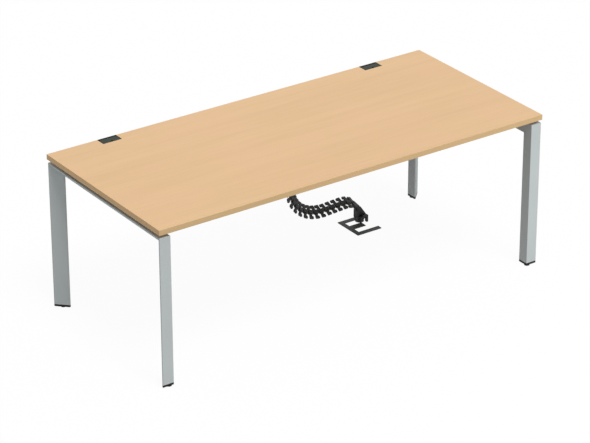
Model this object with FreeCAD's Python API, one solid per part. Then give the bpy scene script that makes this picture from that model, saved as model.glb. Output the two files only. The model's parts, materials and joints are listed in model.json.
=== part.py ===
import FreeCAD, Part
import math
import os
from FreeCAD import Vector

# Office desk with portal end frames, two flap cable ports and a cable spine to the floor.
# Millimetres, floor at z = 0, X along the desk, the user sits at -Y.
os.makedirs("parts", exist_ok=True)

# Table top
TOP_LENGTH = 2000.0
TOP_DEPTH = 900.0
TOP_THICKNESS = 25.0
DESK_HEIGHT = 740.0
BAND_THICKNESS = 2.0
BAND_ROUNDING = 1.0

# End frames: triangular tube, mitred into portals
TUBE_WIDTH = 53.0
TUBE_DEPTH = 53.0
TUBE_NOSE = 6.5
TUBE_WALL = 2.0
TUBE_ROUNDING = 0.8
END_INSET = 2.5
SIDE_INSET = 4.0
SHADOW_GAP = 15.0
FIT_CLEARANCE = 0.2

# Spacers and screws that carry the top on the end rails
SPACER_RADIUS = 12.0
SPACER_REACH = 300.0
TOP_SCREW_OFFSET = 20.0
TOP_SCREW_RADIUS = 2.5
TOP_SCREW_BITE = 15.0
TOP_SCREW_HEAD_RADIUS = 5.0
TOP_SCREW_HEAD = 3.0
DRIVER_HOLE_RADIUS = 8.0

# Beams under the top
BEAM_SPACING = 400.0
BEAM_WIDTH = 30.0
BEAM_HEIGHT = 40.0
BEAM_WALL = 2.0
BRACKET_THICKNESS = 4.0
BRACKET_WIDTH = 84.0
BRACKET_HEIGHT = 46.0
BOLT_SPACING = 58.0
BOLT_RADIUS = 4.0
BOLT_LENGTH = 18.0
BOLT_HEAD_RADIUS = 6.5
BOLT_HEAD = 5.0
NUT_RADIUS = 7.5
NUT_THICKNESS = 6.5

# Leg caps and levelling feet
CAP_THICKNESS = 10.0
CAP_PLUG = 18.0
CAP_LIFT = 7.0
INSERT_RADIUS = 7.0
STUD_RADIUS = 4.0
STUD_LENGTH = 55.0
STUD_SEAT = 2.0
COLLAR_RADIUS = 7.0
COLLAR_HEIGHT = 1.5
PAD_RADIUS = 12.5
PAD_TOP_RADIUS = 10.5
PAD_HEIGHT = 4.5
PAD_RIM = 3.0
RUNNING_FIT = 0.06

# Cable ports let into the back edge
PORT_INSET = 300.0
PORT_WIDTH = 95.0
PORT_DEPTH = 52.0
PORT_WALL = 6.0
PORT_LEDGE = 3.0
PORT_LIP = 9.0
PORT_LIP_THICKNESS = 3.0
PORT_SCREW_RADIUS = 1.75
PORT_SCREW_LENGTH = 14.0
PORT_SCREW_HEAD_RADIUS = 3.2
PORT_SCREW_HEAD = 2.0
FLAP_THICKNESS = 4.0
FLAP_CLEARANCE = 0.4
FLAP_TAIL = 1.5
FINGER_NOTCH_RADIUS = 9.0
PIN_RADIUS = 1.25
KNUCKLE_RADIUS = 3.0

# Cable spine: jointed vertebrae from the table top to the floor
SPINE_INSET = 83.0
SPINE_PITCH = 31.0
SPINE_ROLL_DEG = 70.0
SPINE_TWIST_DEG = 42.0
SPINE_LEAN_DEG = 14.0
SPINE_RISE_DEG = 3.0
SPINE_NOD_DEG = 12.0
BEND_LINKS = 7
BEND_EASE = 1.25
FLAT_LINKS = 5
STEM_LEAST = 25.0
LINK_WIDTH = 73.0
LINK_DEPTH = 8.0
WEB_THICKNESS = 15.0
TOOTH_LENGTH = 20.0
TOOTH_HEIGHT = 13.0
CORE_WIDTH = 20.0
CORE_DEPTH = 13.0
CHANNEL_BRIDGE = 5.0
LINK_ROUNDING = 1.4
BALL_RADIUS = 4.2
BALL_CLEARANCE = 0.3
NECK_RADIUS = 2.4
SOCKET_LAP = 2.2

# Spine end: elbow, foot and floor plate
FOOT_X = 604.0
FOOT_RADIUS = 21.0
FOOT_HEIGHT = 26.0
HEAD_DEPTH = 24.0
HEAD_WAIST = 15.0
HEAD_BACK = 26.0
HEAD_SKIRT = 22.0
HEAD_SHOULDER = 58.0
HEAD_CROWN = 76.0
HEAD_CROWN_SET = 3.0
HEAD_TOE = 34.0
HEAD_ROUNDING = 3.0
MOUTH_RADIUS = 9.5
JOINT_SINK = 7.0
CLIP_WIDTH = 11.0
CLIP_START = 5.0
CLIP_REACH = 27.0
CLIP_HEIGHT = 34.0
CLIP_WALL = 11.0
CLIP_FLOOR_GAP = 1.0
CLIP_ROUNDING = 4.0
ELBOW_REACH = 46.0
ELBOW_DROP = 47.0
ELBOW_NOD_DEG = 20.0
ELBOW_ROLL_DEG = 74.0
ELBOW_WEB = 14.0
ELBOW_STEM_RADIUS = 10.0
ELBOW_STEM_TIP = 15.0
ELBOW_STEM_GAP = 3.0
PLATE_THICKNESS = 4.0
PLATE_MARGIN = 38.0
PLATE_LENGTH = 161.0
PLATE_BAR = 22.0
PLATE_FOOT_REACH = 98.0
PLATE_ARM = 24.0
PLATE_MIDDLE_ARM = 35.0
PLATE_REACH = 134.0
PLATE_MIDDLE_REACH = 90.0
FOOT_SCREW_SPREAD = 12.0
FOOT_SCREW_RADIUS = 2.0
FOOT_SCREW_LENGTH = 16.0
FOOT_SCREW_HEAD_RADIUS = 4.0
FOOT_SCREW_HEAD = 2.0

# Spine bracket under the top
SPINE_PLATE_LENGTH = 80.0
SPINE_PLATE_WIDTH = 56.0
SPINE_PLATE_THICKNESS = 4.0
SPINE_STEM_RADIUS = 10.0
SPINE_SCREW_INSET = 10.0
SPINE_SCREW_RADIUS = 2.0
SPINE_SCREW_LENGTH = 18.0
SPINE_SCREW_HEAD_RADIUS = 4.0
SPINE_SCREW_HEAD = 2.5

# Derived levels and lines
UNDERSIDE = DESK_HEIGHT - TOP_THICKNESS
FRAME_TOP = UNDERSIDE - SHADOW_GAP
CAP_TOP = CAP_LIFT + CAP_THICKNESS
FRAME_X = TOP_LENGTH / 2 - END_INSET - TUBE_WIDTH
FRAME_Y = TOP_DEPTH / 2 - SIDE_INSET
SPINE_Y = TOP_DEPTH / 2 - SPINE_INSET
UP = Vector(0, 0, 1)
RIGHT = Vector(1, 0, 0)
BACK = Vector(0, 1, 0)
SIDES = {"left": -1, "right": 1}
ENDS = {"front": -1, "back": 1}


def save(node, solids):
    """Write one node, a single solid or a group of separate ones."""
    shape = solids[0] if len(solids) == 1 else Part.makeCompound(solids)
    shape.exportStep(f"parts/{node}.step")


def box(low, high):
    size = high - low
    return Part.makeBox(size.x, size.y, size.z, low)


def prism(points, along):
    return Part.Face(Part.makePolygon(points + [points[0]])).extrude(along)


def rod(radius, start, end):
    along = end - start
    return Part.makeCylinder(radius, along.Length, start, along)


def hexagon(radius, start, along):
    """A hexagonal bar whose corners lie at radius."""
    points = []
    side = along.cross(UP if abs(along.z) < along.Length / 2 else RIGHT).normalize()
    other = along.cross(side).normalize()
    for corner in range(6):
        turn = math.radians(60 * corner)
        points.append(start + side * (radius * math.cos(turn)) + other * (radius * math.sin(turn)))
    return prism(points, along)


def round_edges(shape, radius, along):
    """Round the straight edges that run parallel to a direction."""
    chosen = []
    for edge in shape.Edges:
        if isinstance(edge.Curve, Part.Line) and abs(edge.Curve.Direction.dot(along)) > 0.999:
            chosen.append(edge)
    return shape.makeFillet(radius, chosen)


def triangle(corner, outward, inward, wall):
    """The tube's right triangle with two blunt noses, set in by a wall on every side."""
    run = TUBE_WIDTH - TUBE_NOSE
    rise = TUBE_DEPTH - TUBE_NOSE
    slant = math.hypot(run, rise)
    outline = [
        (wall, wall),
        (TUBE_WIDTH - wall, wall),
        (TUBE_WIDTH - wall, TUBE_NOSE + wall * (rise - slant) / run),
        (TUBE_NOSE + wall * (run - slant) / rise, TUBE_DEPTH - wall),
        (wall, TUBE_DEPTH - wall),
    ]
    return [corner + outward * across + inward * down for across, down in outline]


def triangle_tube(corner, outward, inward, along):
    outer = prism(triangle(corner, outward, inward, 0), along)
    outer = round_edges(outer, TUBE_ROUNDING, Vector(along).normalize())
    return outer.cut(prism(triangle(corner, outward, inward, TUBE_WALL), along))


def mitre_wedge(side, end, of_leg):
    """The corner that the other tube of the mitre takes up."""
    reach = TUBE_DEPTH + TUBE_WIDTH
    start = Vector(side * FRAME_X, end * FRAME_Y, FRAME_TOP)
    start -= RIGHT * (side * TUBE_WIDTH)
    inward = Vector(0, -end * reach, 0)
    down = Vector(0, 0, -reach)
    across = RIGHT * (side * 3 * TUBE_WIDTH)
    apex = start + (inward if of_leg else down)
    return prism([start, apex, start + inward + down], across)


def leg(side, end):
    corner = Vector(side * FRAME_X, end * FRAME_Y, CAP_TOP)
    along = UP * (FRAME_TOP - CAP_TOP)
    tube = triangle_tube(corner, RIGHT * side, BACK * -end, along)
    return tube.cut(mitre_wedge(side, end, True))


def top_screw_points():
    reach = FRAME_X + TOP_SCREW_OFFSET
    return [
        Vector(side * reach, row * SPACER_REACH, FRAME_TOP)
        for side in SIDES.values()
        for row in (-1, 0, 1)
    ]


def beam_y(end):
    return end * BEAM_SPACING / 2


BOLT_Z = FRAME_TOP - TUBE_DEPTH / 2 + NUT_RADIUS / 2
BEAM_Z = FRAME_TOP - TUBE_DEPTH / 2


def bolt_points(side, end):
    return [
        Vector(side * FRAME_X, beam_y(end) + row * BOLT_SPACING / 2, BOLT_Z)
        for row in (-1, 1)
    ]


def end_rail(side):
    corner = Vector(side * FRAME_X, -FRAME_Y, FRAME_TOP)
    tube = triangle_tube(corner, RIGHT * side, UP * -1, BACK * (2 * FRAME_Y))
    for end in ENDS.values():
        tube = tube.cut(mitre_wedge(side, end, False))
        for point in bolt_points(side, end):
            reach = RIGHT * (side * 2 * TUBE_WALL)
            tube = tube.cut(rod(BOLT_RADIUS + FIT_CLEARANCE, point - reach, point + reach))
    for point in top_screw_points():
        if point.x * side > 0:
            inside = point - UP * (2 * TUBE_WALL)
            tube = tube.cut(rod(TOP_SCREW_RADIUS + FIT_CLEARANCE, inside, point + UP))
            tube = tube.cut(rod(DRIVER_HOLE_RADIUS, inside, point - UP * TUBE_DEPTH))
    return tube


def top_spacer(point):
    post = rod(SPACER_RADIUS, point, point + UP * SHADOW_GAP)
    return post.cut(rod(TOP_SCREW_RADIUS + FIT_CLEARANCE, point, point + UP * SHADOW_GAP))


def screw(tip, head_seat, radius, head_radius, head):
    """A screw from its tip to the seat of its round head."""
    along = (head_seat - tip).normalize()
    return rod(radius, tip, head_seat).fuse(rod(head_radius, head_seat, head_seat + along * head))


def top_screw(point):
    tip = point + UP * (SHADOW_GAP + TOP_SCREW_BITE)
    seat = point - UP * TUBE_WALL
    return screw(tip, seat, TOP_SCREW_RADIUS, TOP_SCREW_HEAD_RADIUS, TOP_SCREW_HEAD)


def beam(end):
    reach = FRAME_X - BRACKET_THICKNESS
    half = Vector(reach, BEAM_WIDTH / 2, BEAM_HEIGHT / 2)
    centre = Vector(0, beam_y(end), BEAM_Z)
    tube = round_edges(box(centre - half, centre + half), BEAM_WALL, RIGHT)
    hollow = half - Vector(0, BEAM_WALL, BEAM_WALL)
    return tube.cut(box(centre - hollow, centre + hollow))


def beam_bracket(side, end):
    centre = Vector(side * (FRAME_X - BRACKET_THICKNESS / 2), beam_y(end), BEAM_Z)
    half = Vector(BRACKET_THICKNESS, BRACKET_WIDTH, BRACKET_HEIGHT) / 2
    plate = round_edges(box(centre - half, centre + half), BRACKET_THICKNESS, RIGHT)
    for point in bolt_points(side, end):
        start = point - RIGHT * (side * 2 * BRACKET_THICKNESS)
        plate = plate.cut(rod(BOLT_RADIUS + FIT_CLEARANCE, start, point))
    return plate


def beam_bolt(side, point):
    seat = point - RIGHT * (side * BRACKET_THICKNESS)
    tip = seat + RIGHT * (side * BOLT_LENGTH)
    head = hexagon(BOLT_HEAD_RADIUS, seat, RIGHT * (-side * BOLT_HEAD))
    return rod(BOLT_RADIUS, seat, tip).fuse(head)


def beam_nut(side, point):
    seat = point + RIGHT * (side * TUBE_WALL)
    along = RIGHT * (side * NUT_THICKNESS)
    return hexagon(NUT_RADIUS, seat, along).cut(rod(BOLT_RADIUS + RUNNING_FIT, seat, seat + along))


# A foot stands where the circle that fits the tube's section has its centre.
FOOT_OFFSET = (TUBE_WIDTH + TUBE_DEPTH - math.hypot(TUBE_WIDTH, TUBE_DEPTH)) / 2


def foot_axis(side, end, height):
    return Vector(side * (FRAME_X + FOOT_OFFSET), end * (FRAME_Y - FOOT_OFFSET), height)


def leg_cap(side, end):
    corner = Vector(side * FRAME_X, end * FRAME_Y, CAP_LIFT)
    outward = RIGHT * side
    inward = BACK * -end
    flange = prism(triangle(corner, outward, inward, 0), UP * CAP_THICKNESS)
    flange = round_edges(flange, TUBE_ROUNDING, UP)
    seat = corner + UP * CAP_THICKNESS
    plug = prism(triangle(seat, outward, inward, TUBE_WALL + FIT_CLEARANCE), UP * CAP_PLUG)
    low = foot_axis(side, end, CAP_LIFT)
    high = foot_axis(side, end, CAP_TOP + CAP_PLUG)
    return flange.fuse(plug).cut(rod(INSERT_RADIUS + RUNNING_FIT, low, high))


def foot_insert(side, end):
    low = foot_axis(side, end, CAP_LIFT)
    high = foot_axis(side, end, CAP_TOP + CAP_PLUG)
    return rod(INSERT_RADIUS, low, high).cut(rod(STUD_RADIUS + RUNNING_FIT, low, high))


def foot_pad(side, end):
    rim = foot_axis(side, end, PAD_RIM)
    disc = rod(PAD_RADIUS, foot_axis(side, end, 0), rim)
    crown = Part.makeCone(PAD_RADIUS, PAD_TOP_RADIUS, PAD_HEIGHT - PAD_RIM, rim, UP)
    bore = rod(STUD_RADIUS + RUNNING_FIT, foot_axis(side, end, STUD_SEAT), foot_axis(side, end, PAD_HEIGHT))
    return disc.fuse(crown).cut(bore)


def foot_stud(side, end):
    low = foot_axis(side, end, STUD_SEAT)
    stem = rod(STUD_RADIUS, low, low + UP * STUD_LENGTH)
    return stem.fuse(hexagon(COLLAR_RADIUS, foot_axis(side, end, PAD_HEIGHT), UP * COLLAR_HEIGHT))


def port_x(side):
    return side * (TOP_LENGTH / 2 - PORT_INSET)


PORT_BACK = TOP_DEPTH / 2
PORT_FRONT = PORT_BACK - PORT_DEPTH


def table_top():
    half = Vector(TOP_LENGTH / 2 - BAND_THICKNESS, TOP_DEPTH / 2 - BAND_THICKNESS, 0)
    board = box(UP * UNDERSIDE - half, UP * DESK_HEIGHT + half)
    for side in SIDES.values():
        board = board.cut(port_notch(side))
    for point in top_screw_points():
        bite = point + UP * (SHADOW_GAP + TOP_SCREW_BITE)
        board = board.cut(rod(TOP_SCREW_RADIUS, point, bite))
    for point in port_screw_points():
        board = board.cut(rod(PORT_SCREW_RADIUS, point, point + UP * port_screw_bite()))
    for point in spine_screw_points():
        bite = SPINE_SCREW_LENGTH - SPINE_PLATE_THICKNESS
        board = board.cut(rod(SPINE_SCREW_RADIUS, point, point + UP * bite))
    return board


def port_notch(side):
    low = Vector(port_x(side) - PORT_WIDTH / 2, PORT_FRONT, UNDERSIDE)
    high = Vector(port_x(side) + PORT_WIDTH / 2, PORT_BACK, DESK_HEIGHT)
    return box(low, high)


def edge_band(low, high, out):
    """A strip of edging, rounded along its two outer edges."""
    strip = box(low, high)
    chosen = []
    for edge in strip.Edges:
        middle = edge.CenterOfMass - strip.CenterOfMass
        lies_along = abs(edge.Curve.Direction.z) < 0.5 and abs(edge.Curve.Direction.dot(out)) < 0.5
        if lies_along and middle.dot(out) > 0:
            chosen.append(edge)
    return strip.makeFillet(BAND_ROUNDING, chosen)


def long_band(end):
    far = end * TOP_DEPTH / 2
    near = far - end * BAND_THICKNESS
    stops = [-TOP_LENGTH / 2, TOP_LENGTH / 2]
    if end > 0:
        for side in SIDES.values():
            stops += [port_x(side) - PORT_WIDTH / 2, port_x(side) + PORT_WIDTH / 2]
    stops.sort()
    strips = []
    for start, stop in zip(stops[::2], stops[1::2]):
        low = Vector(start, min(near, far), UNDERSIDE)
        high = Vector(stop, max(near, far), DESK_HEIGHT)
        strips.append(edge_band(low, high, BACK * end))
    return strips


def short_band(side):
    far = side * TOP_LENGTH / 2
    near = far - side * BAND_THICKNESS
    reach = TOP_DEPTH / 2 - BAND_THICKNESS
    low = Vector(min(near, far), -reach, UNDERSIDE)
    high = Vector(max(near, far), reach, DESK_HEIGHT)
    return edge_band(low, high, RIGHT * side)


# The flap turns on a pin just under its ledge, clear of the frame's back wall.
FLAP_Z = DESK_HEIGHT - FLAP_THICKNESS
PIN_Z = FLAP_Z - PIN_RADIUS - FLAP_CLEARANCE
FLAP_SWEEP = math.hypot(FLAP_TAIL, DESK_HEIGHT - PIN_Z) + FLAP_CLEARANCE
PIN_Y = PORT_BACK - PORT_WALL - FLAP_SWEEP


def port_frame(side):
    centre = port_x(side)
    fit = PORT_WIDTH / 2 - FIT_CLEARANCE
    front = PORT_FRONT + FIT_CLEARANCE
    body = box(Vector(centre - fit, front, UNDERSIDE), Vector(centre + fit, PORT_BACK, DESK_HEIGHT))
    lip_low = Vector(centre - fit - PORT_LIP, front - PORT_LIP, UNDERSIDE - PORT_LIP_THICKNESS)
    lip_high = Vector(centre + fit + PORT_LIP, PORT_BACK - BAND_THICKNESS, UNDERSIDE)
    body = body.fuse(round_edges(box(lip_low, lip_high), PORT_LIP / 2, UP))
    hole = PORT_WIDTH / 2 - PORT_WALL
    hole_low = Vector(centre - hole, PORT_FRONT + PORT_WALL, UNDERSIDE - PORT_LIP_THICKNESS)
    body = body.cut(box(hole_low, Vector(centre + hole, PORT_BACK - PORT_WALL, DESK_HEIGHT)))
    rest = hole + PORT_LEDGE
    rest_low = Vector(centre - rest, PORT_FRONT + PORT_WALL - PORT_LEDGE, FLAP_Z)
    body = body.cut(box(rest_low, Vector(centre + rest, PORT_BACK - PORT_WALL, DESK_HEIGHT)))
    for point in port_screw_points():
        body = body.cut(rod(PORT_SCREW_RADIUS + FIT_CLEARANCE, point - UP * PORT_LIP_THICKNESS, point))
    return body.cut(port_pin(side, RUNNING_FIT))


def port_pin(side, clearance):
    reach = RIGHT * (PORT_WIDTH / 2 - PORT_WALL + PORT_LEDGE)
    middle = Vector(port_x(side), PIN_Y, PIN_Z)
    return rod(PIN_RADIUS + clearance, middle - reach, middle + reach)


def port_flap(side):
    centre = port_x(side)
    narrow = PORT_WIDTH / 2 - PORT_WALL - FLAP_CLEARANCE
    wide = narrow + PORT_LEDGE
    front = PORT_FRONT + PORT_WALL - PORT_LEDGE + FLAP_CLEARANCE
    back = PIN_Y + FLAP_TAIL
    # behind its shoulders the flap is narrower than the throat, to clear the ledges as it opens
    shoulder = PIN_Y - (FLAP_Z - PIN_Z) - FLAP_CLEARANCE
    plate = box(Vector(centre - wide, front, FLAP_Z), Vector(centre + wide, shoulder, DESK_HEIGHT))
    tail = box(Vector(centre - narrow, front, FLAP_Z), Vector(centre + narrow, back, DESK_HEIGHT))
    plate = plate.fuse(tail).removeSplitter()
    thumb = Vector(centre, front, FLAP_Z)
    plate = plate.cut(rod(FINGER_NOTCH_RADIUS, thumb, thumb + UP * FLAP_THICKNESS))
    reach = RIGHT * narrow
    middle = Vector(centre, PIN_Y, PIN_Z)
    plate = plate.fuse(rod(KNUCKLE_RADIUS, middle - reach, middle + reach))
    return plate.cut(port_pin(side, RUNNING_FIT))


def port_screw_points():
    across = PORT_WIDTH / 2 + PORT_LIP / 2
    middle = PORT_BACK - PORT_DEPTH / 2
    return [
        Vector(port_x(side) + hand * across, middle, UNDERSIDE)
        for side in SIDES.values()
        for hand in (-1, 1)
    ]


def port_screw_bite():
    return PORT_SCREW_LENGTH - PORT_LIP_THICKNESS


def port_screw(point):
    tip = point + UP * port_screw_bite()
    seat = point - UP * PORT_LIP_THICKNESS
    return screw(tip, seat, PORT_SCREW_RADIUS, PORT_SCREW_HEAD_RADIUS, PORT_SCREW_HEAD)


# The foot's mouth is the slanted face on top of its head, and the ball joint lies under its middle.
FOOT_BASE = Vector(FOOT_X, SPINE_Y, PLATE_THICKNESS)
MOUTH_BACK = FOOT_BASE + Vector(-HEAD_BACK, 0, HEAD_SHOULDER)
MOUTH_FRONT = FOOT_BASE + Vector(-HEAD_CROWN_SET, 0, HEAD_CROWN)
MOUTH_OUT = (MOUTH_FRONT - MOUTH_BACK).cross(BACK).normalize()
FOOT_JOINT = (MOUTH_BACK + MOUTH_FRONT) / 2 - MOUTH_OUT * JOINT_SINK
ELBOW_JOINT = FOOT_JOINT + Vector(-ELBOW_REACH, 0, ELBOW_DROP)


def heading(angle):
    """The way a vertebra points when swung up from hanging straight down."""
    turn = math.radians(angle)
    return Vector(math.sin(turn), 0, -math.cos(turn))


def spine_route():
    """Each vertebra's upper joint, angle and roll, listed from the elbow up to the table top."""
    joint = ELBOW_JOINT
    level = 90 + SPINE_RISE_DEG
    turns = [(90 - SPINE_NOD_DEG, SPINE_ROLL_DEG)] + [(level, SPINE_ROLL_DEG)] * (FLAT_LINKS - 1)
    for count in range(BEND_LINKS):
        share = (count + 1) / (BEND_LINKS + 1)
        angle = level - (level - SPINE_LEAN_DEG) * share ** BEND_EASE
        turns.append((angle, SPINE_ROLL_DEG - SPINE_TWIST_DEG * share))
    route = []
    for angle, roll in turns:
        joint = joint - heading(angle) * SPINE_PITCH
        route.append((joint, angle, roll))
    rise = -heading(SPINE_LEAN_DEG).z * SPINE_PITCH
    hanging = int((UNDERSIDE - STEM_LEAST - joint.z) / rise)
    for _ in range(hanging):
        joint = joint - heading(SPINE_LEAN_DEG) * SPINE_PITCH
        route.append((joint, SPINE_LEAN_DEG, SPINE_ROLL_DEG - SPINE_TWIST_DEG))
    return route


ROUTE = spine_route()
SPINE_TOP = ROUTE[-1][0]
SOCKET_RADIUS = BALL_RADIUS + BALL_CLEARANCE
SOCKET_WAIST = math.sqrt(SOCKET_RADIUS ** 2 - SOCKET_LAP ** 2)
WEB_TOP = (WEB_THICKNESS - SPINE_PITCH) / 2
WEB_FOOT = WEB_TOP - WEB_THICKNESS
TOOTH_TIP = WEB_FOOT + TOOTH_LENGTH
TOOTH_OUTER = LINK_WIDTH / 2
TOOTH_INNER = TOOTH_OUTER - TOOTH_HEIGHT


def link_plate(outline, neck_end):
    """A plate of the links' depth with rounded corners, and the neck and ball that it hangs from."""
    points = [Vector(x, -LINK_DEPTH / 2, z) for x, z in outline]
    plate = round_edges(prism(points, BACK * LINK_DEPTH), LINK_ROUNDING, BACK)
    plate = plate.fuse(rod(NECK_RADIUS, Vector(), UP * neck_end))
    return plate.fuse(Part.makeSphere(BALL_RADIUS))


def vertebra():
    """One link hanging from its ball at the origin, with its socket one pitch below."""
    # the link is the same shape when it is turned half round about the middle of its web
    outline = [
        (TOOTH_INNER, WEB_TOP), (TOOTH_INNER, TOOTH_TIP),
        (TOOTH_OUTER, TOOTH_TIP), (TOOTH_OUTER, WEB_FOOT),
    ]
    outline += [(-x, WEB_TOP + WEB_FOOT - z) for x, z in outline]
    body = link_plate(outline, WEB_TOP)
    core = CORE_WIDTH / 2
    deep = CORE_DEPTH / 2
    socket_end = -SPINE_PITCH - SOCKET_LAP
    body = body.fuse(box(Vector(-core, -deep, socket_end), Vector(core, deep, WEB_TOP)))
    for hand in (-1, 1):
        channel_start = min(hand * core, hand * TOOTH_INNER)
        channel = box(
            Vector(channel_start, CHANNEL_BRIDGE - LINK_DEPTH / 2, WEB_FOOT),
            Vector(channel_start + TOOTH_INNER - core, LINK_DEPTH / 2, WEB_TOP),
        )
        body = body.cut(channel)
    return body.cut(Part.makeSphere(SOCKET_RADIUS, Vector(0, 0, -SPINE_PITCH)))


def place_link(link, joint, angle, roll):
    placed = link.copy()
    placed.rotate(Vector(), UP, roll)
    placed.rotate(Vector(), BACK, -angle)
    placed.translate(joint)
    return placed


def spine_elbow():
    """The end vertebra: a thick bar with one tooth, and a stem that goes down into the foot."""
    bar_top = WEB_FOOT + ELBOW_WEB
    outline = [
        (TOOTH_OUTER, TOOTH_TIP), (TOOTH_OUTER, WEB_FOOT), (-TOOTH_OUTER, WEB_FOOT),
        (-TOOTH_OUTER, bar_top), (TOOTH_INNER, bar_top), (TOOTH_INNER, TOOTH_TIP),
    ]
    angle = 90 - ELBOW_NOD_DEG
    bar = place_link(link_plate(outline, bar_top), ELBOW_JOINT, angle, ELBOW_ROLL_DEG)
    start = ELBOW_JOINT - heading(angle) * ((bar_top + WEB_FOOT) / 2)
    end = FOOT_JOINT + MOUTH_OUT * (JOINT_SINK + ELBOW_STEM_GAP)
    along = end - start
    stem = Part.makeCone(ELBOW_STEM_RADIUS, ELBOW_STEM_TIP, along.Length, start, along)
    stem = stem.fuse(rod(NECK_RADIUS, FOOT_JOINT, end))
    return bar.fuse(stem).fuse(Part.makeSphere(BALL_RADIUS, FOOT_JOINT))


def foot_clip():
    """An open hook in front of the foot that keeps the cables beside it."""
    front = FOOT_BASE - BACK * (FOOT_RADIUS + CLIP_WIDTH)
    inner = CLIP_REACH - CLIP_WALL
    under = CLIP_HEIGHT - CLIP_WALL
    low_end = CLIP_FLOOR_GAP - PLATE_THICKNESS
    outline = [
        (-CLIP_START, CLIP_HEIGHT), (-CLIP_START, under), (inner, under),
        (inner, low_end), (CLIP_REACH, low_end), (CLIP_REACH, CLIP_HEIGHT),
    ]
    points = [front + Vector(x, 0, z) for x, z in outline]
    hook = round_edges(prism(points, BACK * CLIP_WIDTH), CLIP_ROUNDING, BACK)
    arm_low = front + Vector(-CLIP_START + CLIP_ROUNDING, CLIP_WIDTH / 2, under)
    arm_high = FOOT_BASE + Vector(inner, 0, CLIP_HEIGHT)
    return hook.fuse(box(arm_low, arm_high))


def spine_foot():
    """The foot: a round base, a slanted head with the elbow's socket, and a cable clip."""
    outline = [
        (-HEAD_WAIST, 0), (-HEAD_BACK, HEAD_SKIRT), (-HEAD_BACK, HEAD_SHOULDER),
        (-HEAD_CROWN_SET, HEAD_CROWN), (HEAD_TOE, HEAD_SKIRT), (HEAD_WAIST, 0),
    ]
    near = FOOT_BASE - BACK * (HEAD_DEPTH / 2)
    head = prism([near + Vector(x, 0, z) for x, z in outline], BACK * HEAD_DEPTH)
    head = round_edges(head, HEAD_ROUNDING, BACK)
    body = rod(FOOT_RADIUS, FOOT_BASE, FOOT_BASE + UP * FOOT_HEIGHT)
    body = body.fuse(head).fuse(foot_clip())
    body = body.cut(Part.makeSphere(SOCKET_RADIUS, FOOT_JOINT))
    lap = FOOT_JOINT + MOUTH_OUT * SOCKET_LAP
    body = body.cut(Part.makeCone(SOCKET_WAIST, MOUTH_RADIUS, JOINT_SINK, lap, MOUTH_OUT))
    for point in foot_screw_points():
        body = body.cut(rod(FOOT_SCREW_RADIUS, point, point + UP * FOOT_SCREW_LENGTH))
    return body


def foot_screw_points():
    return [Vector(FOOT_X, SPINE_Y + hand * FOOT_SCREW_SPREAD, 0) for hand in (-1, 1)]


def foot_screw(point):
    seat = point + UP * FOOT_SCREW_HEAD
    tip = point + UP * FOOT_SCREW_LENGTH
    return screw(tip, seat, FOOT_SCREW_RADIUS, FOOT_SCREW_HEAD_RADIUS, FOOT_SCREW_HEAD)


def spine_base_plate():
    """The E-shaped floor plate, with a round pad under the foot."""
    start = FOOT_X - PLATE_FOOT_REACH
    back = SPINE_Y + PLATE_MARGIN
    front = back - PLATE_LENGTH
    middle = (front + back) / 2
    plate = box(Vector(start, front, 0), Vector(start + PLATE_BAR, back, PLATE_THICKNESS))
    arms = [
        (front, front + PLATE_ARM, PLATE_REACH),
        (middle - PLATE_MIDDLE_ARM / 2, middle + PLATE_MIDDLE_ARM / 2, PLATE_MIDDLE_REACH),
        (back - PLATE_ARM, back, PLATE_REACH),
    ]
    for low_y, high_y, reach in arms:
        low = Vector(start, low_y, 0)
        plate = plate.fuse(box(low, Vector(start + reach, high_y, PLATE_THICKNESS)))
    pad = Vector(FOOT_X, SPINE_Y, 0)
    plate = plate.fuse(rod(FOOT_RADIUS, pad, pad + UP * PLATE_THICKNESS)).removeSplitter()
    for point in foot_screw_points():
        plate = plate.cut(rod(FOOT_SCREW_RADIUS + FIT_CLEARANCE, point, point + UP * PLATE_THICKNESS))
        plate = plate.cut(rod(FOOT_SCREW_HEAD_RADIUS + FIT_CLEARANCE, point, point + UP * FOOT_SCREW_HEAD))
    return plate


def spine_screw_points():
    along = SPINE_PLATE_LENGTH / 2 - SPINE_SCREW_INSET
    across = SPINE_PLATE_WIDTH / 2 - SPINE_SCREW_INSET
    return [
        Vector(SPINE_TOP.x + hand * along, SPINE_Y + row * across, UNDERSIDE)
        for hand in (-1, 1)
        for row in (-1, 1)
    ]


def spine_bracket():
    half = Vector(SPINE_PLATE_LENGTH, SPINE_PLATE_WIDTH, 0) / 2
    top = Vector(SPINE_TOP.x, SPINE_Y, UNDERSIDE)
    plate_low = top - UP * SPINE_PLATE_THICKNESS
    body = round_edges(box(plate_low - half, top + half), SPINE_SCREW_INSET / 2, UP)
    body = body.fuse(rod(SPINE_STEM_RADIUS, SPINE_TOP - UP * SOCKET_LAP, plate_low))
    body = body.cut(Part.makeSphere(SOCKET_RADIUS, SPINE_TOP))
    for point in spine_screw_points():
        body = body.cut(rod(SPINE_SCREW_RADIUS + FIT_CLEARANCE, point - UP * SPINE_PLATE_THICKNESS, point))
    return body


def spine_screw(point):
    seat = point - UP * SPINE_PLATE_THICKNESS
    tip = seat + UP * SPINE_SCREW_LENGTH
    return screw(tip, seat, SPINE_SCREW_RADIUS, SPINE_SCREW_HEAD_RADIUS, SPINE_SCREW_HEAD)


def build_top():
    save("table_top", [table_top()])
    for name, end in ENDS.items():
        save(f"edge_band_{name}", long_band(end))
    for name, side in SIDES.items():
        save(f"edge_band_{name}", [short_band(side)])


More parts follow.
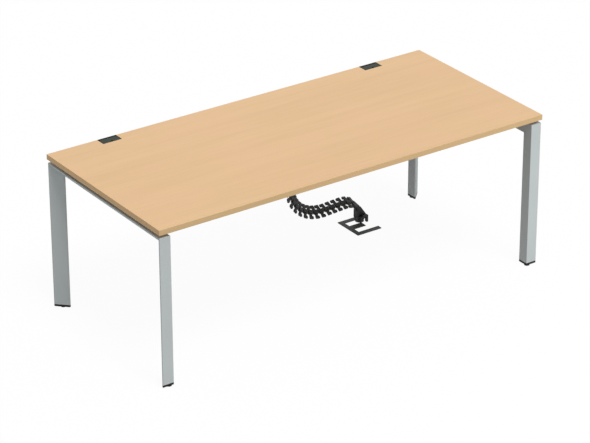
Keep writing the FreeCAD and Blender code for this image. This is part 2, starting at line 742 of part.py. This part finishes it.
def build_frames():
    for side_name, side in SIDES.items():
        save(f"end_rail_{side_name}", [end_rail(side)])
        for end_name, end in ENDS.items():
            place = f"{end_name}_{side_name}"
            save(f"leg_{place}", [leg(side, end)])
            save(f"beam_bracket_{place}", [beam_bracket(side, end)])
            save(f"leg_cap_{place}", [leg_cap(side, end)])
            save(f"foot_pad_{place}", [foot_pad(side, end)])
            save(f"foot_stud_{place}", [foot_stud(side, end)])
    for end_name, end in ENDS.items():
        save(f"{end_name}_beam", [beam(end)])


def build_fasteners():
    corners = [(side, end) for side in SIDES.values() for end in ENDS.values()]
    bolts = [(side, point) for side, end in corners for point in bolt_points(side, end)]
    save("beam_bolts", [beam_bolt(side, point) for side, point in bolts])
    save("beam_nuts", [beam_nut(side, point) for side, point in bolts])
    save("foot_inserts", [foot_insert(side, end) for side, end in corners])
    save("top_spacers", [top_spacer(point) for point in top_screw_points()])
    save("top_screws", [top_screw(point) for point in top_screw_points()])
    save("port_screws", [port_screw(point) for point in port_screw_points()])


def build_ports():
    for name, side in SIDES.items():
        save(f"port_frame_{name}", [port_frame(side)])
        save(f"port_flap_{name}", [port_flap(side)])
        save(f"port_pin_{name}", [port_pin(side, 0)])


def build_spine():
    link = vertebra()
    placed = [place_link(link, *place) for place in ROUTE]
    save("spine_flat_links", placed[:FLAT_LINKS])
    for count in range(BEND_LINKS):
        save(f"spine_bend_link_{BEND_LINKS - count}", [placed[FLAT_LINKS + count]])
    save("spine_hanging_links", placed[FLAT_LINKS + BEND_LINKS:])
    save("spine_bracket", [spine_bracket()])
    save("spine_bracket_screws", [spine_screw(point) for point in spine_screw_points()])
    save("spine_elbow", [spine_elbow()])
    save("spine_foot", [spine_foot()])
    save("spine_foot_screws", [foot_screw(point) for point in foot_screw_points()])
    save("spine_base_plate", [spine_base_plate()])


build_top()
build_frames()
build_fasteners()
build_ports()
build_spine()
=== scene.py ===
import json
import math

import bmesh
import bpy
from mathutils import Matrix, Vector


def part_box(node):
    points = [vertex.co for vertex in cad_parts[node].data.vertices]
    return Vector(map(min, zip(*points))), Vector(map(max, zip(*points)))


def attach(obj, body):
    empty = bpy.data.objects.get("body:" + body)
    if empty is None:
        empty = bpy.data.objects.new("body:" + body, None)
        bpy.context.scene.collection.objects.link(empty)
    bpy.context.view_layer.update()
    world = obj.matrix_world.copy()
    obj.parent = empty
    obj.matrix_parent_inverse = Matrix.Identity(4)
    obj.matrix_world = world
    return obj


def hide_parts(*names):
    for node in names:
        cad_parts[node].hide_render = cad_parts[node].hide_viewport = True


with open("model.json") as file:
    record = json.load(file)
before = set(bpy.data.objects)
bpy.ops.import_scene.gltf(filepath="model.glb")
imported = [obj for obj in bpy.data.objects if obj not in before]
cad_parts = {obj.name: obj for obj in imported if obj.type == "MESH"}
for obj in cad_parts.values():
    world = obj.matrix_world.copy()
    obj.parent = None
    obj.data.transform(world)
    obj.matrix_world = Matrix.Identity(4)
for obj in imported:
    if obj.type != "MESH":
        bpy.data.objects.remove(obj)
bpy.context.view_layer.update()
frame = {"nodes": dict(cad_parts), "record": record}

NODES = frame["nodes"]
SLOT_OF = {row["node"]: row["material_slot"] for row in frame["record"]["subparts"]}
BODIES = frame["record"]["behaviour"]["bodies"]
BODY_OF = {name: body for body, names in BODIES.items() for name in names}
PLACES = ("front_left", "front_right", "back_left", "back_right")
SHORT_EDGES = ("edge_band_left", "edge_band_right")

# Camera, fitted to the corners of the top and the feet (metres, degrees and millimetres of film)
CAMERA_EYE = Vector((-6.38263, -9.15951, 5.83582))
CAMERA_AZIMUTH = math.radians(-34.796)
CAMERA_ELEVATION = math.radians(26.309)
CAMERA_ROLL = math.radians(-0.126)
CAMERA_LENS = 172.167
CAMERA_SENSOR = 36.0
CAMERA_REACH = 160.0

# Light: a large soft key from above the front, a fill low at the front right, and an even pale surround
KEY_FROM = Vector((0.0, -0.47, 0.88))
KEY_STRENGTH = 1.83
KEY_SOFTNESS = math.radians(24)
FILL_AT = Vector((1.3, -2.6, 0.6))
FILL_TOWARDS = Vector((1.0, -0.45, 0.4))
FILL_SIZE = 1.0
FILL_POWER = 9.0
SURROUND_STRENGTH = 0.43

# Floor (metres): how much light it throws back, and how much of its own white hides the shadow
FLOOR_HALF = 40.0
FLOOR_BOUNCE = 0.30
FLOOR_GLOW = 0.95

# Colour Mix node: its sockets by number, because its other types use the same names
MIX_FACTOR = 0
MIX_FIRST = 6
MIX_SECOND = 7
MIX_RESULT = 2

# Noise: the middle stretch of one pattern, and of two added together, that carries their contrast
NOISE_SPAN = (0.3, 0.7)
WIDE_NOISE_SPAN = (0.25, 0.75)
WOOD_SUM_SPAN = (0.7, 1.3)
COAT_SUM_SPAN = (0.65, 1.35)
BEVEL_SAMPLES = 6

# Printed beech: sizes of its patterns along and across the grain (metres), and how strongly each shows
FIGURE_SIZE = (1.1, 0.055)
FIBRE_SIZE = (0.22, 0.0022)
FIBRE_RELIEF = 0.12
FIBRE_HEIGHT = 0.0004
CLOUD_SIZE = (0.5, 0.35)
CLOUD_SPAN = (0.35, 0.65)
CLOUD_SHARE = 0.35
CLOUD_TINT = (1.0, 0.955, 0.985)
FLECK_SIZE = (0.009, 0.0009)
FLECK_SPAN = (0.66, 0.74)
FLECK_SHARE = 0.22
FLECK_SHADE = 0.62
WOOD_ROUGHNESS = (0.44, 0.54)
WOOD_GLOSS = 0.30

# Powder coat (metres): drift of tone, specks, orange peel, and thinner paint on the edges
PAINT_DRIFT_SIZE = (0.16, 0.16, 0.30)
SPECKS_PER_GRAIN = 3
PEEL_WIDTH_TO_HEIGHT = 6
PAINT_EDGE_RADIUS = 0.0012
PAINT_EDGE_SPAN = (0.995, 0.80)
PAINT_EDGE_SHARE = 0.35
PAINT_EDGE_GAIN = 1.18
PAINT_EDGE_LIFT = 0.01
PAINT_ROUGHNESS_SPREAD = 0.05

# Moulded plastic (metres): drift of tone, spark-eroded pits, and rubbed edges
PLASTIC_DRIFT_SIZE = 0.03
PIT_ROUGHNESS = 0.65
PIT_RELIEF = 0.25
PIT_WIDTH_TO_HEIGHT = 4
PLASTIC_EDGE_RADIUS = 0.0008
PLASTIC_EDGE_SPAN = (0.99, 0.80)
PLASTIC_EDGE_SHARE = 0.5
PLASTIC_EDGE_GAIN = 1.6
PLASTIC_EDGE_LIFT = 0.008
PLASTIC_ROUGHNESS_SPREAD = 0.08

# Zinc plate (metres): cloudy patches and fine drawing lines
ZINC_CLOUD_SIZE = 0.006
ZINC_LINE_SIZE = (0.004, 0.004, 0.00018)
ZINC_LINE_RELIEF = 0.10
ZINC_LINE_HEIGHT = 0.00008
ZINC_ROUGHNESS = (0.26, 0.46)

# Levelling studs (metres): plain foot, hexagonal collar, then a helical thread
STUD_RADIUS = 0.004
COLLAR_RADIUS = 0.007
COLLAR_LIFT = 0.0025
COLLAR_HEIGHT = 0.0015
COLLAR_CHAMFER = 0.0003
COLLAR_SIDES = 6
COLLAR_TURN = math.radians(90)
THREAD_PITCH = 0.00125
THREAD_DEPTH = 0.0007
THREAD_SIDES = 28
RINGS_PER_TURN = 6

# Cross-head screws (metres): radius of the shank and height of the head
SCREWS = {
    "top_screws": (0.0025, 0.003),
    "port_screws": (0.00175, 0.002),
    "spine_bracket_screws": (0.002, 0.0025),
    "spine_foot_screws": (0.002, 0.002),
}
SCREW_SPACING = 0.015
HEAD_SIDES = 32

# Shares of a screw: tip against the shank's radius, crown and recess against the head's radius or height
TIP_RADIUS_SHARE = 0.25
TIP_LENGTH_SHARE = 2
CROWN_SHARE = 0.82
CROSS_REACH = 0.55
CROSS_HALF_WIDTH = 0.14
CROSS_DEPTH = 0.55


def rgba(red, green, blue):
    """An opaque colour."""
    return (red, green, blue, 1.0)


WHITE = rgba(1, 1, 1)
BEECH_PALE = rgba(0.826, 0.551, 0.305)
BEECH_DEEP = rgba(0.760, 0.496, 0.268)
LONG_EDGE_PALE = rgba(0.790, 0.550, 0.285)
LONG_EDGE_DEEP = rgba(0.710, 0.485, 0.243)
# Short edge bands: the long edge colours made paler (red x1.12, green and blue x1.08), as painted light
# that brightens end faces the lamps leave dim
SHORT_EDGE_PALE_PAINTED_LIGHT = rgba(0.885, 0.594, 0.308)
SHORT_EDGE_DEEP_PAINTED_LIGHT = rgba(0.795, 0.524, 0.262)
ZINC_DARK = rgba(0.46, 0.47, 0.49)
ZINC_BRIGHT = rgba(0.66, 0.66, 0.64)


# Shader helpers
def new_material(name):
    """A node material with nothing in its tree but a shader and an output."""
    material = bpy.data.materials.new(name)
    material.use_nodes = True
    tree = material.node_tree
    tree.nodes.clear()
    shader = tree.nodes.new("ShaderNodeBsdfPrincipled")
    output = tree.nodes.new("ShaderNodeOutputMaterial")
    tree.links.new(shader.outputs["BSDF"], output.inputs["Surface"])
    return material, tree, shader


def node(tree, kind, inputs=None, **settings):
    """Add a shader node, setting or linking its inputs by name or number."""
    made = tree.nodes.new("ShaderNode" + kind)
    for name, value in settings.items():
        setattr(made, name, value)
    for key, value in (inputs or {}).items():
        join(tree, made.inputs[key], value)
    return made


def join(tree, socket, value):
    """Link a socket to another node's output, or set its value."""
    if isinstance(value, bpy.types.NodeSocket):
        tree.links.new(value, socket)
    else:
        socket.default_value = value


def even(size):
    """The same value for all three axes, or for all three colour channels."""
    return (size, size, size)


def noise(tree, size, detail=2.0, roughness=0.5):
    """Noise from 0 to 1 whose patches measure about size (metres, along X, Y and Z)."""
    place = node(tree, "TexCoord").outputs["Object"]
    scale = [1 / length for length in size]
    mapped = node(tree, "Mapping", {"Vector": place, "Scale": scale})
    inputs = {"Vector": mapped.outputs["Vector"], "Scale": 1.0, "Detail": detail, "Roughness": roughness}
    return node(tree, "TexNoise", inputs).outputs["Fac"]


def levels(tree, value, span, to=(0.0, 1.0)):
    """A value stretched from one span to another, and held at its ends."""
    inputs = {"Value": value, "From Min": span[0], "From Max": span[1], "To Min": to[0], "To Max": to[1]}
    return node(tree, "MapRange", inputs).outputs["Result"]


def arithmetic(tree, operation, first, second):
    """The result of a Math node on two values."""
    return node(tree, "Math", {0: first, 1: second}, operation=operation).outputs["Value"]


def blend(tree, factor, first, second):
    """A colour from first to second as factor goes from 0 to 1."""
    mixed = node(tree, "Mix", data_type="RGBA")
    join(tree, mixed.inputs[MIX_FACTOR], factor)
    join(tree, mixed.inputs[MIX_FIRST], first)
    join(tree, mixed.inputs[MIX_SECOND], second)
    return mixed.outputs[MIX_RESULT]


def bump(tree, height, strength, distance, over=None):
    """A normal that follows a height, on top of another normal where one is given."""
    inputs = {"Height": height, "Strength": strength, "Distance": distance}
    if over is not None:
        inputs["Normal"] = over
    return node(tree, "Bump", inputs).outputs["Normal"]


def softened(tree, radius):
    """The normal as if every edge were rounded to a radius."""
    return node(tree, "Bevel", {"Radius": radius}, samples=BEVEL_SAMPLES).outputs["Normal"]


def edge_mask(tree, rounded, span):
    """1 on sharp edges and 0 on flat faces, from how far a rounded normal leaves the true one."""
    true = node(tree, "NewGeometry").outputs["Normal"]
    agree = node(tree, "VectorMath", {0: rounded, 1: true}, operation="DOT_PRODUCT").outputs["Value"]
    return levels(tree, agree, span)


def scaled(colour, gains, lift=0.0):
    """A colour with each channel times its gain, raised by a lift, and held at 1."""
    return rgba(*[min(channel * gain + lift, 1.0) for channel, gain in zip(colour, gains)])


# Finishes
def wood(name, along, pale, deep):
    """Printed beech: broad figure, fine fibres and short flecks, all drawn out along one axis."""
    def drawn_out(size):
        length, width = size
        return [length if axis == along else width for axis in "xyz"]

    material, tree, shader = new_material(name)
    figure = noise(tree, drawn_out(FIGURE_SIZE), detail=3.0)
    fibre = noise(tree, drawn_out(FIBRE_SIZE), detail=2.0)
    cloud = noise(tree, drawn_out(CLOUD_SIZE), detail=1.0)
    fleck = noise(tree, drawn_out(FLECK_SIZE), detail=1.0)
    tone = arithmetic(tree, "ADD", figure, fibre)
    colour = blend(tree, levels(tree, tone, WOOD_SUM_SPAN), pale, deep)
    tint = levels(tree, cloud, CLOUD_SPAN, (0.0, CLOUD_SHARE))
    colour = blend(tree, tint, colour, scaled(pale, CLOUD_TINT))
    marks = levels(tree, fleck, FLECK_SPAN, (0.0, FLECK_SHARE))
    colour = blend(tree, marks, colour, scaled(deep, even(FLECK_SHADE)))
    join(tree, shader.inputs["Base Color"], colour)
    join(tree, shader.inputs["Roughness"], levels(tree, fibre, NOISE_SPAN, WOOD_ROUGHNESS))
    shader.inputs["Specular IOR Level"].default_value = WOOD_GLOSS
    join(tree, shader.inputs["Normal"], bump(tree, fibre, FIBRE_RELIEF, FIBRE_HEIGHT))
    return material


def paint(name, pale, deep, grain, relief, rough, gloss, metallic=0.0):
    """Powder coat: orange-peel relief, a slight drift of tone, and thinner paint on the edges."""
    material, tree, shader = new_material(name)
    drift = noise(tree, PAINT_DRIFT_SIZE, detail=2.0)
    peel = noise(tree, even(grain), detail=2.0)
    speck = noise(tree, even(grain / SPECKS_PER_GRAIN), detail=1.0)
    tone = arithmetic(tree, "ADD", drift, speck)
    colour = blend(tree, levels(tree, tone, COAT_SUM_SPAN), deep, pale)
    rounded = softened(tree, PAINT_EDGE_RADIUS)
    worn = arithmetic(tree, "MULTIPLY", edge_mask(tree, rounded, PAINT_EDGE_SPAN), PAINT_EDGE_SHARE)
    colour = blend(tree, worn, colour, scaled(pale, even(PAINT_EDGE_GAIN), PAINT_EDGE_LIFT))
    join(tree, shader.inputs["Base Color"], colour)
    roughness = (rough - PAINT_ROUGHNESS_SPREAD, rough + PAINT_ROUGHNESS_SPREAD)
    join(tree, shader.inputs["Roughness"], levels(tree, drift, NOISE_SPAN, roughness))
    shader.inputs["Metallic"].default_value = metallic
    shader.inputs["Specular IOR Level"].default_value = gloss
    join(tree, shader.inputs["Normal"], bump(tree, peel, relief, grain / PEEL_WIDTH_TO_HEIGHT, rounded))
    return material


def plastic(name, pale, deep, grain, rough, gloss):
    """Moulded plastic with a spark-eroded grain and edges rubbed a little paler."""
    material, tree, shader = new_material(name)
    drift = noise(tree, even(PLASTIC_DRIFT_SIZE), detail=3.0)
    pits = noise(tree, even(grain), detail=3.0, roughness=PIT_ROUGHNESS)
    tone = arithmetic(tree, "ADD", drift, pits)
    colour = blend(tree, levels(tree, tone, COAT_SUM_SPAN), deep, pale)
    rounded = softened(tree, PLASTIC_EDGE_RADIUS)
    rubbed = arithmetic(tree, "MULTIPLY", edge_mask(tree, rounded, PLASTIC_EDGE_SPAN), PLASTIC_EDGE_SHARE)
    colour = blend(tree, rubbed, colour, scaled(pale, even(PLASTIC_EDGE_GAIN), PLASTIC_EDGE_LIFT))
    join(tree, shader.inputs["Base Color"], colour)
    roughness = (rough - PLASTIC_ROUGHNESS_SPREAD, rough + PLASTIC_ROUGHNESS_SPREAD)
    join(tree, shader.inputs["Roughness"], levels(tree, pits, WIDE_NOISE_SPAN, roughness))
    shader.inputs["Specular IOR Level"].default_value = gloss
    join(tree, shader.inputs["Normal"], bump(tree, pits, PIT_RELIEF, grain / PIT_WIDTH_TO_HEIGHT, rounded))
    return material


def plated_steel(name):
    """Zinc plate: bright metal with fine drawing lines and cloudy patches."""
    material, tree, shader = new_material(name)
    cloud = noise(tree, even(ZINC_CLOUD_SIZE), detail=3.0)
    lines = noise(tree, ZINC_LINE_SIZE, detail=2.0)
    join(tree, shader.inputs["Base Color"], blend(tree, cloud, ZINC_DARK, ZINC_BRIGHT))
    shader.inputs["Metallic"].default_value = 1.0
    join(tree, shader.inputs["Roughness"], levels(tree, lines, WIDE_NOISE_SPAN, ZINC_ROUGHNESS))
    join(tree, shader.inputs["Normal"], bump(tree, lines, ZINC_LINE_RELIEF, ZINC_LINE_HEIGHT))
    return material


def make_finishes():
    """Every finish of the desk, by the name of the record's material slot."""
    return {
        "wood_board": wood("beech_board", "x", BEECH_PALE, BEECH_DEEP),
        "wood_edge": wood("beech_edging_long", "x", LONG_EDGE_PALE, LONG_EDGE_DEEP),
        "silver_paint": paint(
            "silver_powder_coat", rgba(0.640, 0.690, 0.690), rgba(0.575, 0.622, 0.622),
            grain=0.0011, relief=0.10, rough=0.58, gloss=0.12, metallic=0.10,
        ),
        "black_paint": paint(
            "black_powder_coat", rgba(0.030, 0.030, 0.032), rgba(0.020, 0.020, 0.022),
            grain=0.0014, relief=0.20, rough=0.55, gloss=0.35,
        ),
        "dark_plate_paint": paint(
            "dark_powder_coat", rgba(0.076, 0.088, 0.080), rgba(0.059, 0.069, 0.063),
            grain=0.0014, relief=0.22, rough=0.55, gloss=0.30,
        ),
        "black_plastic": plastic(
            "black_plastic", rgba(0.016, 0.016, 0.016), rgba(0.010, 0.010, 0.010),
            grain=0.0006, rough=0.55, gloss=0.20,
        ),
        "port_plastic": plastic(
            "port_plastic", rgba(0.046, 0.055, 0.044), rgba(0.036, 0.044, 0.034),
            grain=0.0007, rough=0.58, gloss=0.15,
        ),
        "port_dark_plastic": plastic(
            "port_dark_plastic", rgba(0.019, 0.020, 0.017), rgba(0.013, 0.014, 0.011),
            grain=0.0007, rough=0.58, gloss=0.15,
        ),
        "spine_plastic": plastic(
            "spine_plastic", rgba(0.028, 0.030, 0.028), rgba(0.014, 0.015, 0.014),
            grain=0.0008, rough=0.48, gloss=0.30,
        ),
        "steel": plated_steel("zinc_plate"),
    }


def dress_nodes(finishes):
    """Give each CAD node the finish of its slot; the short edge bands have grain along Y, and a paler
    colour that is painted light.
    """
    # The short edge bands' grain along Y is their own; their paler colour is painted light on the end
    # faces
    short_edging_painted_light = wood("beech_edging_short_painted_light", "y", SHORT_EDGE_PALE_PAINTED_LIGHT, SHORT_EDGE_DEEP_PAINTED_LIGHT)
    for name, piece in NODES.items():
        finish = short_edging_painted_light if name in SHORT_EDGES else finishes[SLOT_OF[name]]
        piece.data.materials.clear()
        piece.data.materials.append(finish)


# Mesh helpers
def new_piece(name, mesh_builder, material, body, slot, *replaced):
    """Link a mesh piece, shade it, and set it on its body in place of CAD nodes."""
    work = bmesh.new()
    mesh_builder(work)
    bmesh.ops.recalc_face_normals(work, faces=work.faces)
    mesh = bpy.data.meshes.new(name)
    work.to_mesh(mesh)
    work.free()
    mesh.materials.append(material)
    piece = bpy.data.objects.new(name, mesh)
    bpy.context.scene.collection.objects.link(piece)
    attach(piece, body)
    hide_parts(*replaced)


def around(axis, radius, angle, height):
    """A point at a height, a radius and an angle about an upright axis."""
    return axis + Vector((radius * math.cos(angle), radius * math.sin(angle), height))


def middle(low, high):
    """The upright axis through the middle of a box, as its point at height 0."""
    return Vector(((low[0] + high[0]) / 2, (low[1] + high[1]) / 2, 0))


def ring(work, axis, height, radius, sides, turn=0.0):
    """A level ring of vertices about an upright axis."""
    angles = [turn + 2 * math.pi * side / sides for side in range(sides)]
    return [work.verts.new(around(axis, radius, angle, height)) for angle in angles]


def bridge(work, lower, upper):
    """Join two rings of as many vertices with a band of faces."""
    for side in range(len(lower)):
        after = (side + 1) % len(lower)
        work.faces.new((lower[side], lower[after], upper[after], upper[side]))


def stack(work, rings):
    """Skin a stack of rings and close both ends."""
    for lower, upper in zip(rings, rings[1:]):
        bridge(work, lower, upper)
    work.faces.new(rings[0])
    work.faces.new(rings[-1])


# Levelling studs
def thread_ring(work, axis, height, shrink):
    """One ring of a helical thread: a triangular ridge that climbs one pitch per turn."""
    made = []
    for side in range(THREAD_SIDES):
        share = side / THREAD_SIDES
        phase = (height / THREAD_PITCH - share) % 1.0
        radius = STUD_RADIUS - shrink - THREAD_DEPTH * abs(2 * phase - 1)
        made.append(work.verts.new(around(axis, radius, 2 * math.pi * share, height)))
    return made


def stud_mesh(work, low, high):
    """A stud in its CAD box: foot, collar, and a thread that tapers off at the top."""
    axis = middle(low, high)
    foot, top = low[2], high[2]
    collar = foot + COLLAR_LIFT
    collar_top = collar + COLLAR_HEIGHT
    stack(work, [ring(work, axis, height, STUD_RADIUS, THREAD_SIDES) for height in (foot, collar)])
    flats = [
        (collar, COLLAR_RADIUS - COLLAR_CHAMFER), (collar + COLLAR_CHAMFER, COLLAR_RADIUS),
        (collar_top - COLLAR_CHAMFER, COLLAR_RADIUS), (collar_top, COLLAR_RADIUS - COLLAR_CHAMFER),
    ]
    stack(work, [ring(work, axis, height, radius, COLLAR_SIDES, COLLAR_TURN) for height, radius in flats])
    count = int((top - collar_top) / THREAD_PITCH * RINGS_PER_TURN)
    rings = []
    for step in range(count + 1):
        height = collar_top + (top - collar_top) * step / count
        shrink = max(0.0, THREAD_DEPTH - (top - height))
        rings.append(thread_ring(work, axis, height, shrink))
    stack(work, rings)


def add_studs(finish):
    """A threaded stud in place of each plain one."""
    for place in PLACES:
        low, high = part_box(f"foot_stud_{place}")
        new_piece(
            f"threaded_stud_{place}", lambda work: stud_mesh(work, low, high),
            finish, f"stud_{place}", "steel", f"foot_stud_{place}",
        )


# Cross-head screws, all with their heads downwards
def cross_outline():
    """The recess's outline, for a head of radius 1: one arm turned to four sides."""
    reach, half = CROSS_REACH, CROSS_HALF_WIDTH
    arm = [(reach, -half), (reach, half), (half, half)]
    return [
        (x * cos - y * sin, x * sin + y * cos)
        for cos, sin in ((1, 0), (0, 1), (-1, 0), (0, -1))
        for x, y in arm
    ]


def screw_mesh(work, low, high, shank, head):
    """A screw in its CAD box: tapered tip, shank, crowned head and cross recess."""
    axis = middle(low, high)
    radius = (high[0] - low[0]) / 2
    tip, face = high[2], low[2]
    seat = face + head
    crown = face + head * (1 - CROWN_SHARE)
    outline = [
        (tip, shank * TIP_RADIUS_SHARE), (tip - shank * TIP_LENGTH_SHARE, shank), (seat, shank),
        (seat, radius), (crown, radius), (face, radius * CROWN_SHARE),
    ]
    rings = [ring(work, axis, height, size, HEAD_SIDES) for height, size in outline]
    for upper, lower in zip(rings, rings[1:]):
        bridge(work, lower, upper)
    work.faces.new(rings[0])
    mouth, depth = [
        [work.verts.new(axis + Vector((x * radius, y * radius, height))) for x, y in cross_outline()]
        for height in (face, face + head * CROSS_DEPTH)
    ]
    bridge(work, mouth, depth)
    work.faces.new(depth)
    rims = []
    for loop in (rings[-1], mouth):
        rims += [work.edges.get((loop[side - 1], loop[side])) for side in range(len(loop))]
    bmesh.ops.triangle_fill(work, use_beauty=True, edges=rims)


def screw_boxes(piece):
    """The box of each screw in a node, from its vertices grouped by their places on the floor plan."""
    groups = []
    for vertex in piece.data.vertices:
        for group in groups:
            if (vertex.co.xy - group[0].xy).length < SCREW_SPACING:
                group.append(vertex.co)
                break
        else:
            groups.append([vertex.co])
    boxes = []
    for group in groups:
        low = Vector([min(point[axis] for point in group) for axis in range(3)])
        high = Vector([max(point[axis] for point in group) for axis in range(3)])
        boxes.append((low, high))
    return boxes


def add_screws(finish):
    """Cross-head screws in place of the plain ones, one piece for each node."""
    for name, (shank, head) in SCREWS.items():
        boxes = screw_boxes(NODES[name])

        def every_screw(work):
            for low, high in boxes:
                screw_mesh(work, low, high, shank, head)

        new_piece(f"cross_{name}", every_screw, finish, BODY_OF[name], "steel", name)


# Floor, surround, lamps and camera
def seen_directly(tree):
    """1 for rays from the camera, a mirror or glass, and 0 for those that carry light."""
    path = node(tree, "LightPath").outputs
    mirrored = arithmetic(tree, "MAXIMUM", path["Is Camera Ray"], path["Is Glossy Ray"])
    return arithmetic(tree, "MAXIMUM", mirrored, path["Is Transmission Ray"])


def add_floor():
    """A floor that looks all but white, takes the shadow, and throws back a modest light."""
    half = FLOOR_HALF
    corners = [(-half, -half, 0), (half, -half, 0), (half, half, 0), (-half, half, 0)]
    mesh = bpy.data.meshes.new("floor")
    mesh.from_pydata(corners, [], [(0, 1, 2, 3)])
    floor = bpy.data.objects.new("floor", mesh)
    bpy.context.scene.collection.objects.link(floor)
    material = bpy.data.materials.new("pale_floor")
    material.use_nodes = True
    tree = material.node_tree
    tree.nodes.clear()
    seen = seen_directly(tree)
    matt = node(tree, "BsdfDiffuse", {"Color": blend(tree, seen, rgba(*even(FLOOR_BOUNCE)), WHITE)})
    glow = node(tree, "Emission", {"Color": WHITE, "Strength": 1.0})
    share = arithmetic(tree, "MULTIPLY", seen, FLOOR_GLOW)
    mixed = node(tree, "MixShader", {0: share, 1: matt.outputs[0], 2: glow.outputs[0]})
    output = tree.nodes.new("ShaderNodeOutputMaterial")
    tree.links.new(mixed.outputs[0], output.inputs["Surface"])
    mesh.materials.append(material)


def add_surround():
    """An even world that lights the object gently, and looks white."""
    world = bpy.data.worlds.new("pale_surround")
    bpy.context.scene.world = world
    world.use_nodes = True
    tree = world.node_tree
    tree.nodes.clear()
    strength = levels(tree, seen_directly(tree), (0.0, 1.0), (SURROUND_STRENGTH, 1.0))
    light = node(tree, "Background", {"Color": WHITE, "Strength": strength})
    output = tree.nodes.new("ShaderNodeOutputWorld")
    tree.links.new(light.outputs["Background"], output.inputs["Surface"])


def add_lamp(light, shines_from):
    """Link a lamp for a light, turned so that it shines from a direction."""
    lamp = bpy.data.objects.new(light.name, light)
    lamp.rotation_euler = shines_from.to_track_quat("Z", "Y").to_euler()
    bpy.context.scene.collection.objects.link(lamp)
    return lamp


def add_lamps():
    """A key light that is far away, and a fill light that stands near."""
    key = bpy.data.lights.new("key", "SUN")
    key.energy = KEY_STRENGTH
    key.angle = KEY_SOFTNESS
    add_lamp(key, KEY_FROM)
    fill = bpy.data.lights.new("fill", "AREA")
    fill.energy = FILL_POWER
    fill.size = FILL_SIZE
    add_lamp(fill, FILL_AT - FILL_TOWARDS).location = FILL_AT


def add_camera():
    """A camera turned by its azimuth, its elevation and its roll."""
    level = math.cos(CAMERA_ELEVATION)
    right = Vector((math.cos(CAMERA_AZIMUTH), math.sin(CAMERA_AZIMUTH), 0))
    back = Vector((
        math.sin(CAMERA_AZIMUTH) * level, -math.cos(CAMERA_AZIMUTH) * level, math.sin(CAMERA_ELEVATION),
    ))
    turn = Matrix((right, back.cross(right), back)).transposed().to_4x4()
    roll = Matrix.Rotation(CAMERA_ROLL, 4, "Z")
    data = bpy.data.cameras.new("camera")
    data.sensor_width = CAMERA_SENSOR
    data.lens = CAMERA_LENS
    data.clip_end = CAMERA_REACH
    camera = bpy.data.objects.new("camera", data)
    camera.matrix_world = Matrix.Translation(CAMERA_EYE) @ turn @ roll
    bpy.context.scene.collection.objects.link(camera)
    bpy.context.scene.camera = camera


FINISHES = make_finishes()
dress_nodes(FINISHES)
add_studs(FINISHES["steel"])
add_screws(FINISHES["steel"])
add_floor()
add_surround()
add_lamps()
add_camera()
bpy.context.scene.view_settings.view_transform = "Standard"
